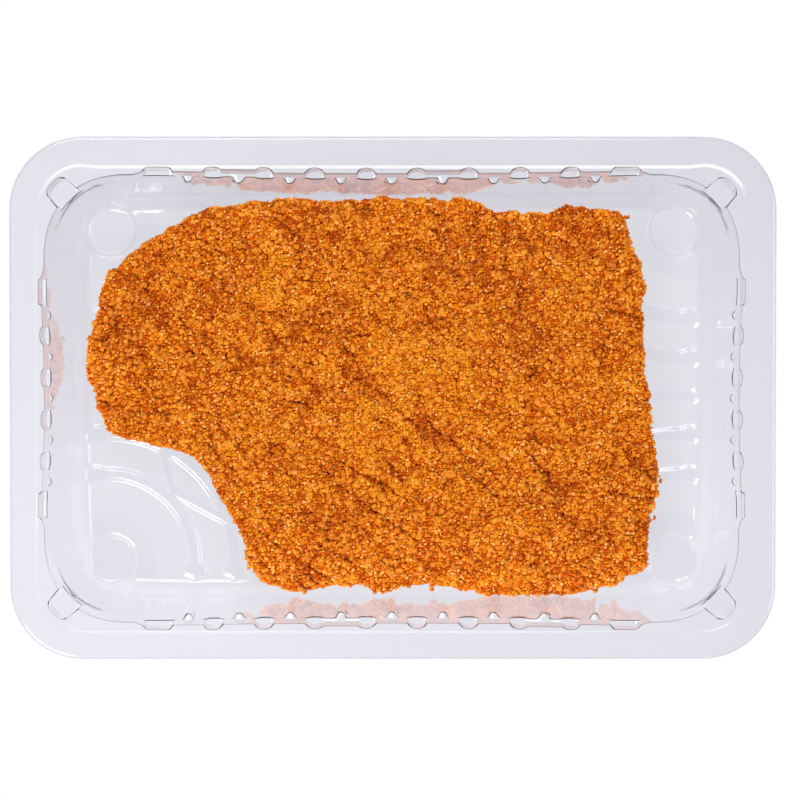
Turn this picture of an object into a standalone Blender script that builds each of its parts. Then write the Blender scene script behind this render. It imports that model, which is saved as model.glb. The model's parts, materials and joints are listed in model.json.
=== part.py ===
"""A breaded schnitzel lying in a clear thermoformed tray.

Two sub-parts. The tray is one thin formed sheet: a flange with a turned-down lip, a
ledge one step down, sloping ribbed walls with stacking pockets along their top, four
hollow feet, and a floor with curved ribs round each foot. The schnitzel is one solid slab of meat in its crust, with an uneven
outline and a dented top, and it rests on the ribs of the floor.

Metres, +Z up. The origin is on the surface that the tray stands on, under its middle,
and the tray's long side runs along X.
"""

import math

import bmesh
import bpy

MM = 0.001

# The tray's outside.
TRAY_LENGTH = 220 * MM
TRAY_WIDTH = 150 * MM
TRAY_HEIGHT = 40 * MM
SHEET = 0.8 * MM

# The flange, its lip, and the ledge one step down from it.
FLANGE_RADIUS = 21 * MM
FLANGE_BREAK = 0.5 * MM
LIP_DROP = 2.2 * MM
BEAD_LENGTH = 204.4 * MM
BEAD_WIDTH = 133.6 * MM
BEAD_RADIUS = 11.5 * MM
BEAD_SLOPE = 0.8 * MM
LEDGE_DROP = 0.6 * MM
OUTLINE_STEPS = 8

# The pan. Each of its sections is the core rectangle grown by a reach, so all its
# corners turn about the same four points.
CORE_X = 75.4 * MM
CORE_Y = 40 * MM
RIM_REACH = 24.6 * MM
WALL_FOOT = (19.4 * MM, 9.0 * MM)
FILLET_MIDDLE = (17.6 * MM, 4.6 * MM)
FLOOR_EDGE = (14.8 * MM, 2.4 * MM)
FLOOR_TOP = FLOOR_EDGE[1]

# Stacking pockets open above the shelf, and wall ribs stand out below it.
SHELF_Z = 35 * MM
SHELF_SLOPE = 0.2 * MM
RIB_DEPTH = 1.9 * MM
RIB_STEPS = ((-1.7 * MM, 0), (-0.9 * MM, 1), (0.9 * MM, 1), (1.7 * MM, 0))
OVAL_STEPS = ((-2.9 * MM, 0), (-1.6 * MM, 1), (1.6 * MM, 1), (2.9 * MM, 0))
NOTCH_STEPS = ((-3.5 * MM, 0), (-3.0 * MM, 1), (3.0 * MM, 1), (3.5 * MM, 0))
LUG_STEPS = ((-6.6, 0), (-5.4, 1), (5.4, 1), (6.6, 0))
POCKET_DEPTH = {"oval": 2.0 * MM, "notch": 2.6 * MM, "lug": 6.2 * MM}
LONG_SIDE = {"ribs": 9, "pitch": 14.7 * MM, "notch": 67.2 * MM}
SHORT_SIDE = {"ribs": 5, "pitch": 12.0 * MM, "notch": 30.6 * MM}
CORNER_ANGLES = (0, 9, 18, 27, 36, 54, 63, 72, 81, 90)

# Each foot is a tapered cup that runs up into the corner of the wall, inside a round
# shoulder that dips from the floor. Radius and height, low and high.
FOOT_X = 86 * MM
FOOT_Y = 50 * MM
CUP = ((6.4 * MM, 0.0), (7.4 * MM, 28 * MM))
SHOULDER = ((12.8 * MM, 0.6 * MM), (17.8 * MM, 1.6 * MM))
SHOULDER_REACH = (13.9 * MM, 15.6 * MM)
FOOT_SIDES = 24

# The floor's ribs are flattened round bars: arcs about each foot, a lower bar that
# zigzags between the arcs, and one straight rib along each end of the middle line.
BAR_RADIUS = 1.2 * MM
ZIGZAG_RADIUS = 1.0 * MM
BAR_FLATNESS = 0.62
BAR_SINK = 0.2 * MM
ARC_RADII = (26.5 * MM, 38.5 * MM)
ARC_END_X = 2.5 * MM
ARC_END_Y = 3.0 * MM
ARC_POINTS = 7
ZIGZAG_TURNS = ((62, 1), (44, 0), (22, 1))
MIDDLE_RIB = (52 * MM, 88 * MM)

# The schnitzel.
GAP = 0.3 * MM
MEAT_BOTTOM = FLOOR_TOP + BAR_SINK + BAR_RADIUS * BAR_FLATNESS + GAP
MEAT_WIDEST = 12.2 * MM
MEAT_TOP = 15.6 * MM
MEAT_CENTRE = (-4 * MM, 4 * MM)
MEAT_OVERHANG = 1.2 * MM
# How far in from the outline each ring of the side lies, and how high.
MEAT_SIDE = ((5.2 * MM, MEAT_BOTTOM), (1.7 * MM, 6.6 * MM), (-MEAT_OVERHANG, MEAT_WIDEST))
MEAT_SHOULDER = 2.6 * MM
MEAT_SHOULDER_DROP = 1.1 * MM
MEAT_TOP_RINGS = (0.72, 0.40)
# The outline in millimetres, counter-clockwise from the right-hand end.
MEAT_OUTLINE = (
    # right edge, upwards
    (78.2, -14.5), (76.2, 2.2), (74.9, 16.0), (74.5, 30.0), (72.1, 45.1),
    # top edge, leftwards, with one shallow bay
    (68.3, 53.3), (60.8, 56.7), (52.1, 56.7), (42.9, 54.3), (29.5, 55.0),
    (19.4, 58.9), (0.9, 58.7), (-14.6, 58.2), (-32.8, 58.8), (-47.1, 57.1),
    # the rounded lobe on the left
    (-62.2, 52.8), (-73.4, 47.2), (-85.0, 36.8), (-88.6, 23.1), (-91.3, 10.8),
    (-89.7, 1.5), (-85.2, -9.2), (-76.5, -13.5), (-66.0, -14.6),
    # the long bay that cuts the lower left-hand corner off
    (-56.3, -21.6), (-51.0, -29.0), (-46.6, -37.6), (-43.8, -47.4),
    # bottom edge, rightwards
    (-37.8, -55.0), (-25.9, -58.0), (-9.2, -56.4), (3.5, -56.9), (18.8, -56.8),
    (33.0, -59.0), (50.6, -59.0), (62.5, -56.6), (72.6, -52.2),
    # lower right-hand corner
    (76.2, -46.0), (76.4, -35.6), (78.9, -25.2),
)  # fmt: skip
# Broad dents of the top: x, y and radius in millimetres, and depth in millimetres.
MEAT_DENTS = (
    (32, 32, 12, 1.5),
    (24, 47, 9, 1.2),
    (-66, 22, 13, 1.0),
    (-44, 38, 12, 0.9),
    (14, 22, 12, 0.8),
    (-26, -50, 9, 1.3),
    (9, -46, 11, 1.2),
)


def collection(name):
    made = bpy.data.collections.new(name)
    bpy.context.scene.collection.children.link(made)
    return made


def material(name, colour, roughness, alpha=1.0):
    made = bpy.data.materials.new(name)
    made.use_nodes = True
    surface = made.node_tree.nodes["Principled BSDF"]
    surface.inputs["Base Color"].default_value = (*colour, 1.0)
    surface.inputs["Roughness"].default_value = roughness
    surface.inputs["Metallic"].default_value = 0.0
    surface.inputs["Alpha"].default_value = alpha
    return made


def mesh_object(name, work, home):
    """Turns a bmesh into an object of the collection called home."""
    bmesh.ops.recalc_face_normals(work, faces=work.faces)
    mesh = bpy.data.meshes.new(name)
    work.to_mesh(mesh)
    work.free()
    made = bpy.data.objects.new(name, mesh)
    home.objects.link(made)
    return made


def loft(name, rings, home, capped=True):
    """Joins rings of equal length: with flat ends, or back round to the first ring."""
    work = bmesh.new()
    levels = [[work.verts.new(point) for point in ring] for ring in rings]
    if capped:
        work.faces.new(levels[0])
        work.faces.new(levels[-1])
        pairs = zip(levels, levels[1:])
    else:
        pairs = zip(levels, levels[1:] + levels[:1])
    for low, high in pairs:
        for i in range(len(low)):
            j = (i + 1) % len(low)
            work.faces.new((low[i], low[j], high[j], high[i]))
    return mesh_object(name, work, home)


def settle(made, home, part_material=None):
    """Moves a primitive or curve from the scene's own collection into home."""
    for owner in list(made.users_collection):
        owner.objects.unlink(made)
    home.objects.link(made)
    if part_material:
        made.data.materials.append(part_material)
    return made


def hide_tool(tool):
    tool.hide_render = True
    tool.display_type = "WIRE"


def combine(target, tool, operation):
    """Adds a Boolean modifier that joins tool to target or cuts target with it."""
    step = target.modifiers.new(f"{operation.title()} {tool.name}", "BOOLEAN")
    step.operation = operation
    step.solver = "EXACT"
    step.object = tool
    hide_tool(tool)


# ---- tray: flange ----


def rounded_outline(half_x, half_y, radius, z):
    """A ring of points round a rectangle with round corners, counter-clockwise."""
    ring = []
    corners = ((1, 1, 0), (-1, 1, 90), (-1, -1, 180), (1, -1, 270))
    for side_x, side_y, start in corners:
        centre_x = side_x * (half_x - radius)
        centre_y = side_y * (half_y - radius)
        for step in range(OUTLINE_STEPS + 1):
            angle = math.radians(start + 90 * step / OUTLINE_STEPS)
            x = centre_x + radius * math.cos(angle)
            y = centre_y + radius * math.sin(angle)
            ring.append((x, y, z))
    return ring


def flange_sections():
    """The flange's own section, once round: half sizes, corner radius and height."""
    outer_x, outer_y = TRAY_LENGTH / 2, TRAY_WIDTH / 2
    bead_x, bead_y = BEAD_LENGTH / 2, BEAD_WIDTH / 2
    inner = RIM_REACH - SHEET
    top = TRAY_HEIGHT
    ledge = top - LEDGE_DROP

    def inset(by, z):
        return (outer_x - by, outer_y - by, FLANGE_RADIUS - by, z)

    def bead(by, z):
        return (bead_x - by, bead_y - by, BEAD_RADIUS - by, z)

    def rim(z):
        return (CORE_X + inner, CORE_Y + inner, inner, z)

    return (
        inset(0, top - LIP_DROP),
        inset(0, top - FLANGE_BREAK),
        inset(FLANGE_BREAK, top),
        bead(0, top),
        bead(BEAD_SLOPE, ledge),
        rim(ledge),
        rim(ledge - SHEET),
        bead(BEAD_SLOPE - SHEET / 4, ledge - SHEET),
        bead(-SHEET / 4, top - SHEET),
        inset(SHEET, top - SHEET),
        inset(SHEET, top - LIP_DROP),
    )


def make_flange(home):
    rings = [rounded_outline(*section) for section in flange_sections()]
    return loft("flange", rings, home, capped=False)


# ---- tray: pan ----


def side_marks(side):
    """The stations along one side: place from its middle, what is there, how much."""
    marks = []
    for i in range(side["ribs"]):
        middle = (i - (side["ribs"] - 1) / 2) * side["pitch"]
        marks += [(middle + shift, "rib", share) for shift, share in RIB_STEPS]
        if i:
            between = middle - side["pitch"] / 2
            marks += [(between + shift, "oval", share) for shift, share in OVAL_STEPS]
    for middle in (-side["notch"], side["notch"]):
        marks += [(middle + shift, "notch", share) for shift, share in NOTCH_STEPS]
    return sorted(marks)


def corner_marks():
    marks = [(angle, "wall", 0) for angle in CORNER_ANGLES]
    marks += [(45 + shift, "lug", share) for shift, share in LUG_STEPS]
    return sorted(marks)


def stations():
    """Every station round the pan: core point, direction outwards, feature, amount."""
    found = []
    quarters = (
        (CORE_X, CORE_Y, 0, SHORT_SIDE),
        (-CORE_X, CORE_Y, 90, LONG_SIDE),
        (-CORE_X, -CORE_Y, 180, SHORT_SIDE),
        (CORE_X, -CORE_Y, 270, LONG_SIDE),
    )
    for corner_x, corner_y, heading, side in quarters:
        turn = math.radians(heading)
        way = (math.cos(turn), math.sin(turn))
        middle = (way[0] ** 2 * corner_x, way[1] ** 2 * corner_y)
        for along, feature, share in side_marks(side):
            place = (middle[0] - way[1] * along, middle[1] + way[0] * along)
            found.append((place, way, feature, share))
        for angle, feature, share in corner_marks():
            turn = math.radians(heading + angle)
            way_out = (math.cos(turn), math.sin(turn))
            found.append(((corner_x, corner_y), way_out, feature, share))
    return found


def bump(feature, share, z):
    """How far a feature pushes the wall out at a height: pockets out, ribs in."""
    if z > SHELF_Z:
        return share * POCKET_DEPTH.get(feature, 0.0)
    if feature != "rib":
        return 0.0
    rise = (z - WALL_FOOT[1]) / (SHELF_Z - WALL_FOOT[1])
    return -share * RIB_DEPTH * max(rise, 0.0)


def wall_reach(z):
    """The pan's reach on its straight sloping wall."""
    foot_reach, foot_z = WALL_FOOT
    slope = (RIM_REACH - foot_reach) / (TRAY_HEIGHT - foot_z)
    return foot_reach + slope * (z - foot_z)


def make_pan(name, grow, drop, top, home):
    """The pan as a solid, grown sideways by grow and lowered at the floor by drop."""
    upper, lower = SHELF_Z + SHELF_SLOPE, SHELF_Z - SHELF_SLOPE
    levels = [(FLOOR_EDGE[0], FLOOR_EDGE[1] - drop), FILLET_MIDDLE, WALL_FOOT]
    levels += [(wall_reach(z), z) for z in (lower, upper)]
    levels.append((wall_reach(top), top))
    rings = []
    for reach, z in levels:
        ring = []
        for place, way, feature, share in stations():
            out = reach + grow + bump(feature, share, z)
            ring.append((place[0] + way[0] * out, place[1] + way[1] * out, z))
        rings.append(ring)
    return loft(name, rings, home)


# ---- tray: feet and floor ----


def make_cones(name, low, high, home):
    """Four cones about the feet in one object; low and high are radius and height."""
    cones = []
    for side_x in (-1, 1):
        for side_y in (-1, 1):
            bpy.ops.mesh.primitive_cone_add(
                vertices=FOOT_SIDES,
                radius1=low[0],
                radius2=high[0],
                depth=high[1] - low[1],
                location=(side_x * FOOT_X, side_y * FOOT_Y, (high[1] + low[1]) / 2),
            )
            cones.append(bpy.context.object)
    bpy.ops.object.select_all(action="DESELECT")
    for cone in cones:
        cone.select_set(True)
    bpy.context.view_layer.objects.active = cones[0]
    bpy.ops.object.join()
    cones[0].name = name
    return settle(cones[0], home)


def make_cups(name, grow, lift, extra, home):
    (low_radius, low_z), (high_radius, high_z) = CUP
    low = (low_radius + grow, low_z + lift)
    high = (high_radius + grow, high_z + extra)
    return make_cones(name, low, high, home)


def make_shoulders(name, lift, home):
    """The dips round the feet, kept within the foot of the wall."""
    (low_radius, low_z), (high_radius, high_z) = SHOULDER
    slope = (high_radius - low_radius) / (high_z - low_z)
    past = SHEET / 2
    low = (low_radius, low_z + lift)
    high = (high_radius + slope * past, high_z + past + lift)
    shoulders = make_cones(name, low, high, home)
    rings = []
    for reach, z in zip(SHOULDER_REACH, (low_z - past, high_z + past)):
        reach -= lift
        rings.append(rounded_outline(CORE_X + reach, CORE_Y + reach, reach, z + lift))
    combine(shoulders, loft(f"{name}_edge", rings, home), "INTERSECT")
    return shoulders


def make_rib(name, points, radius, home):
    """A flattened round bar along the points, half sunk in the floor."""
    curve = bpy.data.curves.new(name, "CURVE")
    curve.dimensions = "3D"
    curve.bevel_depth = radius
    curve.bevel_resolution = 2
    curve.use_fill_caps = True
    line = curve.splines.new("POLY")
    line.points.add(len(points) - 1)
    for point, (x, y) in zip(line.points, points):
        point.co = (x, y, 0, 1)
    guide = bpy.data.objects.new(f"{name}_guide", curve)
    home.objects.link(guide)
    guide.scale.z = BAR_FLATNESS
    guide.location.z = FLOOR_TOP + BAR_SINK
    bpy.context.view_layer.update()
    seen = guide.evaluated_get(bpy.context.evaluated_depsgraph_get())
    work = bmesh.new()
    work.from_mesh(bpy.data.meshes.new_from_object(seen))
    bmesh.ops.remove_doubles(work, verts=work.verts, dist=0.01 * MM)
    rib = mesh_object(name, work, home)
    rib.matrix_world = guide.matrix_world
    bpy.data.objects.remove(guide)
    return rib


def arc_point(angle, ring):
    """A place on one of the arcs about the foot, as distances towards the middle."""
    turn = math.radians(angle)
    return ARC_RADII[ring] * math.cos(turn), ARC_RADII[ring] * math.sin(turn)


def corner_routes():
    """One corner's ribs, each a route and a radius: two arcs, then the zigzag."""
    routes = []
    for ring, radius in enumerate(ARC_RADII):
        start, end = math.acos(-ARC_END_X / radius), math.asin(-ARC_END_Y / radius)
        turns = [start + (end - start) * i / (ARC_POINTS - 1) for i in range(ARC_POINTS)]
        route = [arc_point(math.degrees(turn), ring) for turn in turns]
        routes.append((route, BAR_RADIUS))
    zigzag = [arc_point(angle, ring) for angle, ring in ZIGZAG_TURNS]
    return routes + [(zigzag, ZIGZAG_RADIUS)]


def make_floor_ribs(home):
    ribs = []
    for side_x in (-1, 1):
        for side_y in (-1, 1):
            for route, radius in corner_routes():
                points = [
                    (side_x * (FOOT_X - x), side_y * (FOOT_Y - y)) for x, y in route
                ]
                ribs.append(make_rib(f"rib_{len(ribs)}", points, radius, home))
        ends = [(side_x * x, 0.0) for x in MIDDLE_RIB]
        ribs.append(make_rib(f"rib_{len(ribs)}", ends, BAR_RADIUS, home))
    return ribs


def make_tray(home, tools):
    tray = make_pan("tray", SHEET, SHEET, TRAY_HEIGHT - LEDGE_DROP - SHEET / 2, home)
    combine(tray, make_flange(tools), "UNION")
    combine(tray, make_shoulders("shoulders", 0, tools), "UNION")
    combine(tray, make_cups("cups", 0, 0, 0, tools), "UNION")
    hollow = make_pan("hollow", 0, 0, TRAY_HEIGHT + SHEET, tools)
    combine(tray, hollow, "DIFFERENCE")
    combine(tray, make_shoulders("shoulder_hollows", SHEET, tools), "DIFFERENCE")
    combine(tray, make_cups("cup_hollows", -SHEET, SHEET, SHEET, tools), "DIFFERENCE")
    for rib in make_floor_ribs(tools):
        combine(tray, rib, "UNION")
    tray.data.materials.append(material("clear_tray", (0.84, 0.84, 0.89), 0.08, 0.35))
    return tray


# ---- schnitzel ----


def meat_outline():
    """The outline's points with the direction outwards at each, in metres."""
    points = [(x * MM, y * MM) for x, y in MEAT_OUTLINE]
    found = []
    for i, (x, y) in enumerate(points):
        before = points[i - 1]
        after = points[(i + 1) % len(points)]
        run = (after[0] - before[0], after[1] - before[1])
        size = math.hypot(*run)
        found.append(((x, y), (run[1] / size, -run[0] / size)))
    return found


def meat_height(x, y):
    """The height of the top at a place: gentle swells, less the dents."""
    swell = 0.5 * math.sin(x / (19 * MM) + 1.1) * math.cos(y / (15 * MM))
    swell += 0.35 * math.sin(x / (11 * MM) - y / (13 * MM))
    for dent_x, dent_y, radius, depth in MEAT_DENTS:
        away = math.hypot(x / MM - dent_x, y / MM - dent_y) / radius
        swell -= depth * math.exp(-away * away)
    return MEAT_TOP + swell * MM


def make_schnitzel(home):
    """A coarse cage of rings, from the underside round to the top, made smooth."""
    outline = meat_outline()
    rings = []
    for inset, z in MEAT_SIDE:
        rings.append([(x - u * inset, y - v * inset, z) for (x, y), (u, v) in outline])
    shoulder = [(x - u * MEAT_SHOULDER, y - v * MEAT_SHOULDER) for (x, y), (u, v) in outline]
    rings.append([(x, y, meat_height(x, y) - MEAT_SHOULDER_DROP) for x, y in shoulder])
    centre_x, centre_y = MEAT_CENTRE
    for share in MEAT_TOP_RINGS:
        ring = []
        for x, y in shoulder:
            inner_x = centre_x + (x - centre_x) * share
            inner_y = centre_y + (y - centre_y) * share
            ring.append((inner_x, inner_y, meat_height(inner_x, inner_y)))
        rings.append(ring)
    schnitzel = loft("schnitzel", rings, home)
    close_ends(schnitzel.data, centre_x, centre_y)
    smooth = schnitzel.modifiers.new("Soft form", "SUBSURF")
    smooth.levels = smooth.render_levels = 1
    schnitzel.data.shade_smooth()
    schnitzel.data.materials.append(material("browned_crust", (0.60, 0.17, 0.015), 0.7))
    return schnitzel


def close_ends(mesh, centre_x, centre_y):
    """Turns the two flat ends of the cage into fans about its centre."""
    work = bmesh.new()
    work.from_mesh(mesh)
    for end in [face for face in work.faces if len(face.verts) > 4]:
        low = end.calc_center_median().z < MEAT_WIDEST
        z = MEAT_BOTTOM if low else meat_height(centre_x, centre_y)
        hub = bmesh.ops.poke(work, faces=[end])["verts"][0]
        hub.co = (centre_x, centre_y, z)
    work.to_mesh(mesh)
    work.free()


def main():
    for thing in list(bpy.data.objects):
        bpy.data.objects.remove(thing)
    parts = collection("schnitzel_in_tray")
    tools = collection("cutters")
    make_tray(parts, tools)
    make_schnitzel(parts)


main()
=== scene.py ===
# %% [markdown]
# # A breaded schnitzel in its clear tray
#
# A schnitzel is a thin slice of meat that is dipped in flour, egg and breadcrumbs and
# fried. Shops sell it flat in a clear tray, which is formed from one thin sheet of warm
# plastic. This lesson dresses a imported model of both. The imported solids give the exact
# sizes, and everything here is made round them, in metres and in the same place.
#
# Two things carry the look. The crust is thousands of small angular crumbs, so it is
# built from real crumbs and not painted on. The tray is nearly invisible, so it needs
# true form: what the eye sees is only its edges, ribs and feet bending the light.

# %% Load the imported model
import json
import math
import random

import bmesh
import bpy
import numpy as np
from mathutils import Matrix, Vector, noise

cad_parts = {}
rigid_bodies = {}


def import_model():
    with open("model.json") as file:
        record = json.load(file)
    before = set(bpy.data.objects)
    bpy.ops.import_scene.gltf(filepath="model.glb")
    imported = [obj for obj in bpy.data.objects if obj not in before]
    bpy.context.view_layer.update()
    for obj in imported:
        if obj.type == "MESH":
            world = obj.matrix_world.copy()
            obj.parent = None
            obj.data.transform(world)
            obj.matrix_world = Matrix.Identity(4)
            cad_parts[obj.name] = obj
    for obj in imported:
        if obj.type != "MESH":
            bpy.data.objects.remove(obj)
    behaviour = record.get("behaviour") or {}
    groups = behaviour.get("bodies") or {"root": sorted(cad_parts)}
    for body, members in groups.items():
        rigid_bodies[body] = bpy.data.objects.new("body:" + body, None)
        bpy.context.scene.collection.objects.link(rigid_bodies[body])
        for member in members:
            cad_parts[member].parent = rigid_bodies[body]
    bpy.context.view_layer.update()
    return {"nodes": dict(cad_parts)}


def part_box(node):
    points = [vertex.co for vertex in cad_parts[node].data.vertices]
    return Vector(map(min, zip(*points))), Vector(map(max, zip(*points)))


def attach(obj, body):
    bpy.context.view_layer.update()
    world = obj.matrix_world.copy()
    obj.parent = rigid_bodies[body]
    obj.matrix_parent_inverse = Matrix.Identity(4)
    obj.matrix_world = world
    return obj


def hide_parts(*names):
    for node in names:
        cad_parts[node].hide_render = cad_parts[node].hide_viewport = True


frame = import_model()
scene = bpy.context.scene
MM = 0.001
TRAY_LOW, TRAY_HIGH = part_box("tray")
MEAT_LOW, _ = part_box("schnitzel")
print("the tray is", [round(side / MM, 1) for side in TRAY_HIGH - TRAY_LOW], "mm")

# %% [markdown]
# ## Camera, light table and lamps
#
# The tray is seen from straight above, so the camera hangs 800 mm over it. A long lens
# keeps the sloping walls narrow.
#
# Clear plastic on white looks best over a light table: a pale surface that glows a
# little. The glow comes through the plastic from below, the surroundings above are
# dimmer, and so every edge that turns the light aside shows as a fine darker line.
# Large soft lamps from the sides give the crumbs their relief and the wet-looking
# streaks on the plastic.


# %% New objects and materials
def new_object(name, data):
    made = bpy.data.objects.new(name, data)
    scene.collection.objects.link(made)
    return made


def new_material(name, **settings):
    """A new material and its surface node, with the named settings filled in."""
    material = bpy.data.materials.new(name)
    material.use_nodes = True
    surface = material.node_tree.nodes["Principled BSDF"]
    for setting, value in settings.items():
        surface.inputs[setting.replace("_", " ")].default_value = value
    return material, surface


# %% Camera
EYE = Vector((0.0, 16.8, 800.0)) * MM
AIM = Vector((2.0, -0.46, 40.0)) * MM
LENS = 119.3

camera_data = bpy.data.cameras.new("camera")
camera_data.lens = LENS
camera = new_object("camera", camera_data)
camera.location = EYE
back = (EYE - AIM).normalized()
right = Vector((0, 1, 0)).cross(back).normalized()
axes = Matrix((right, back.cross(right), back)).transposed()
camera.rotation_euler = axes.to_euler()
scene.camera = camera
scene.view_settings.view_transform = "Standard"

# %% Light table
TABLE_SIZE = 4.0
TABLE_GLOW = 0.87
TABLE_WHITENESS = 0.1
TABLE_GAP = 0.3 * MM

bpy.ops.mesh.primitive_plane_add(size=TABLE_SIZE, location=(0, 0, -TABLE_GAP))
table = bpy.context.object
table.name = "light_table"
bpy.ops.object.transform_apply()
table_material, _ = new_material(
    "glowing_table",
    Base_Color=(*[TABLE_WHITENESS] * 3, 1),
    Roughness=0.9,
    Specular_IOR_Level=0.0,
    Emission_Color=(1, 1, 1, 1),
    Emission_Strength=TABLE_GLOW,
)
table.data.materials.append(table_material)

# %% Lamps and surroundings
LAMP_SIZE = 0.8
# Name, place in metres and watts. Every lamp faces the middle of the tray.
LAMPS = (
    ("key_lamp", (-0.7, -0.95, 1.0), 18),
    ("back_lamp", (-0.2, 1.0, 1.0), 9),
    ("fill_lamp", (1.0, -0.1, 0.9), 6),
)
ROOM_COLOUR, ROOM_STRENGTH = (0.93, 0.95, 1.0, 1), 0.4

for name, place, watts in LAMPS:
    lamp_data = bpy.data.lights.new(name, "AREA")
    lamp_data.shape = "SQUARE"
    lamp_data.size = LAMP_SIZE
    lamp_data.energy = watts
    lamp = new_object(name, lamp_data)
    lamp.location = place
    lamp.rotation_euler = (-Vector(place)).to_track_quat("-Z", "Y").to_euler()

room = bpy.data.worlds.new("room")
scene.world = room
room.use_nodes = True
room_light = room.node_tree.nodes["Background"]
room_light.inputs["Color"].default_value = ROOM_COLOUR
room_light.inputs["Strength"].default_value = ROOM_STRENGTH
print("the stage has", len(LAMPS), "lamps and a table")

# %% [markdown]
# ## Working in edit mode
#
# The pieces are shaped as by hand: a primitive goes in, edit mode opens, and operators
# act on what is selected. These few helpers open and close a piece and select parts of
# it by their place.


# %% Helpers for edit mode
def select_only(*pieces):
    bpy.ops.object.select_all(action="DESELECT")
    for piece in pieces:
        piece.select_set(True)
    bpy.context.view_layer.objects.active = pieces[0]


def open_piece(piece):
    select_only(piece)
    bpy.ops.object.mode_set(mode="EDIT")


def close_piece():
    bpy.ops.object.mode_set(mode="OBJECT")


def open_mesh():
    return bmesh.from_edit_mesh(bpy.context.edit_object.data)


def pick(kind, test):
    """Selects only the verts, edges or faces of the open piece that pass the test."""
    bpy.ops.mesh.select_mode(type=kind)
    bpy.ops.mesh.select_all(action="DESELECT")
    work = open_mesh()
    found = {"VERT": work.verts, "EDGE": work.edges, "FACE": work.faces}[kind]
    for part in found:
        if test(part):
            part.select_set(True)
    work.select_flush_mode()
    bmesh.update_edit_mesh(bpy.context.edit_object.data)


def apply_all(piece):
    """Applies the modifiers of a piece, from the top down."""
    select_only(piece)
    for step in list(piece.modifiers):
        bpy.ops.object.modifier_apply(modifier=step.name)


def triangles(piece):
    return sum(len(face.vertices) - 2 for face in piece.data.polygons)


# %% [markdown]
# ## The clear tray
#
# The real tray starts as a flat warm sheet that is sucked down onto a mould. The same
# two steps work here. First comes a smooth blank with an even grid of small faces: one
# rounded plate becomes the flange, another is inset again and again into the pan, and
# the two are bridged. Then the mould presses in everything that is small: ribs, pockets
# and feet, each as a movement of the nearby points.
#
# Every level of the pan is the same core rectangle grown by a reach, so its corners all
# turn about the same four points. That makes one inset per level enough.

# %% Sizes of the tray
CORE_X, CORE_Y = 75.4 * MM, 40.0 * MM
RIM_REACH = 24.6 * MM
RIM_START = 24.95 * MM
LEDGE_Z = 39.6 * MM
FOOT_OF_WALL = (19.4 * MM, 9.0 * MM)
FLOOR_REACH, FLOOR_Z = 14.8 * MM, 2.4 * MM
FLANGE_RADIUS = 21 * MM
LIP_DROP = 2.2 * MM
SHEET = 0.26 * MM
CORNER_STEPS = 40
SIDE_STEPS = 60
LEDGE_STEPS = 2
COARSER_BELOW = 30.0 * MM
# Only the edges of a plate's long sides are longer than this share of its width.
LONG_EDGE = 0.85


# %% A rounded plate
def rounded_plate(name, length, width, radius, z):
    """A flat plate with round corners and evenly split sides, still open for editing."""
    bpy.ops.mesh.primitive_plane_add(size=1, location=(0, 0, z))
    plate = bpy.context.object
    plate.name = name
    bpy.ops.object.transform_apply()
    open_piece(plate)
    bpy.ops.transform.resize(value=(length, width, 1), center_override=(0, 0, z))
    bpy.ops.mesh.bevel(
        offset=radius, segments=CORNER_STEPS, affect="VERTICES", clamp_overlap=False
    )
    bpy.ops.mesh.select_all(action="SELECT")
    bpy.ops.mesh.delete(type="ONLY_FACE")
    pick("EDGE", lambda edge: edge.calc_length() > LONG_EDGE * width)
    bpy.ops.mesh.subdivide(number_cuts=1)
    for cuts in (1, SIDE_STEPS - 1):
        pick("EDGE", lambda edge: edge.calc_length() > radius)
        bpy.ops.mesh.subdivide(number_cuts=cuts)
    bpy.ops.mesh.select_all(action="SELECT")
    bpy.ops.mesh.edge_face_add()
    if open_mesh().faces[:][0].normal.z < 0:
        bpy.ops.mesh.flip_normals()
    return plate


def step_in(reach_drop, z_drop):
    """Insets the selected face and lowers it: one more level of the form."""
    bpy.ops.mesh.inset(thickness=reach_drop, depth=-z_drop, use_even_offset=True)


# %% Fewer points lower down
SAME_HEIGHT = 1e-5


def open_edge_at(z):
    """A test for the edges round an opening at a height."""
    return lambda edge: edge.is_boundary and abs(edge.verts[0].co.z - z) < SAME_HEIGHT


def edge_path(mesh, reach, z):
    """The points of the open edge at a level in order, from the middle of one corner."""
    corner = Vector((CORE_X, CORE_Y)) + Vector((reach, reach)) * math.sqrt(0.5)
    level = [v for v in mesh.verts if v.is_boundary and abs(v.co.z - z) < SAME_HEIGHT]
    start = min(level, key=lambda v: (v.co.xy - corner).length)
    path, last, here = [start], None, start
    while True:
        ends = [edge.other_vert(here) for edge in here.link_edges if edge.is_boundary]
        last, here = here, next(v for v in ends if v is not last)
        if here is start:
            return path
        path.append(here)


def drop_every_other_point(reach, z):
    """The wall's forms get wider further down, so half of the points will do."""
    bpy.ops.mesh.delete(type="ONLY_FACE")
    bpy.ops.mesh.select_mode(type="VERT")
    bpy.ops.mesh.select_all(action="DESELECT")
    work = open_mesh()
    for point in edge_path(work, reach, z)[1::2]:
        point.select_set(True)
    bpy.ops.mesh.dissolve_verts()
    pick("EDGE", open_edge_at(z))
    bpy.ops.mesh.edge_face_add()
    work = open_mesh()
    bottom = max(work.faces, key=lambda face: len(face.verts))
    if bottom.normal.z < 0:
        bottom.normal_flip()
    pick("FACE", lambda face: len(face.verts) > CORNER_STEPS)


# %% The pan's blank
def wall_reach(z):
    """How far the plain sloping wall reaches at a height."""
    foot_reach, foot_z = FOOT_OF_WALL
    slope = (RIM_REACH - foot_reach) / (TRAY_HIGH.z - foot_z)
    return foot_reach + slope * (z - foot_z)


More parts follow.
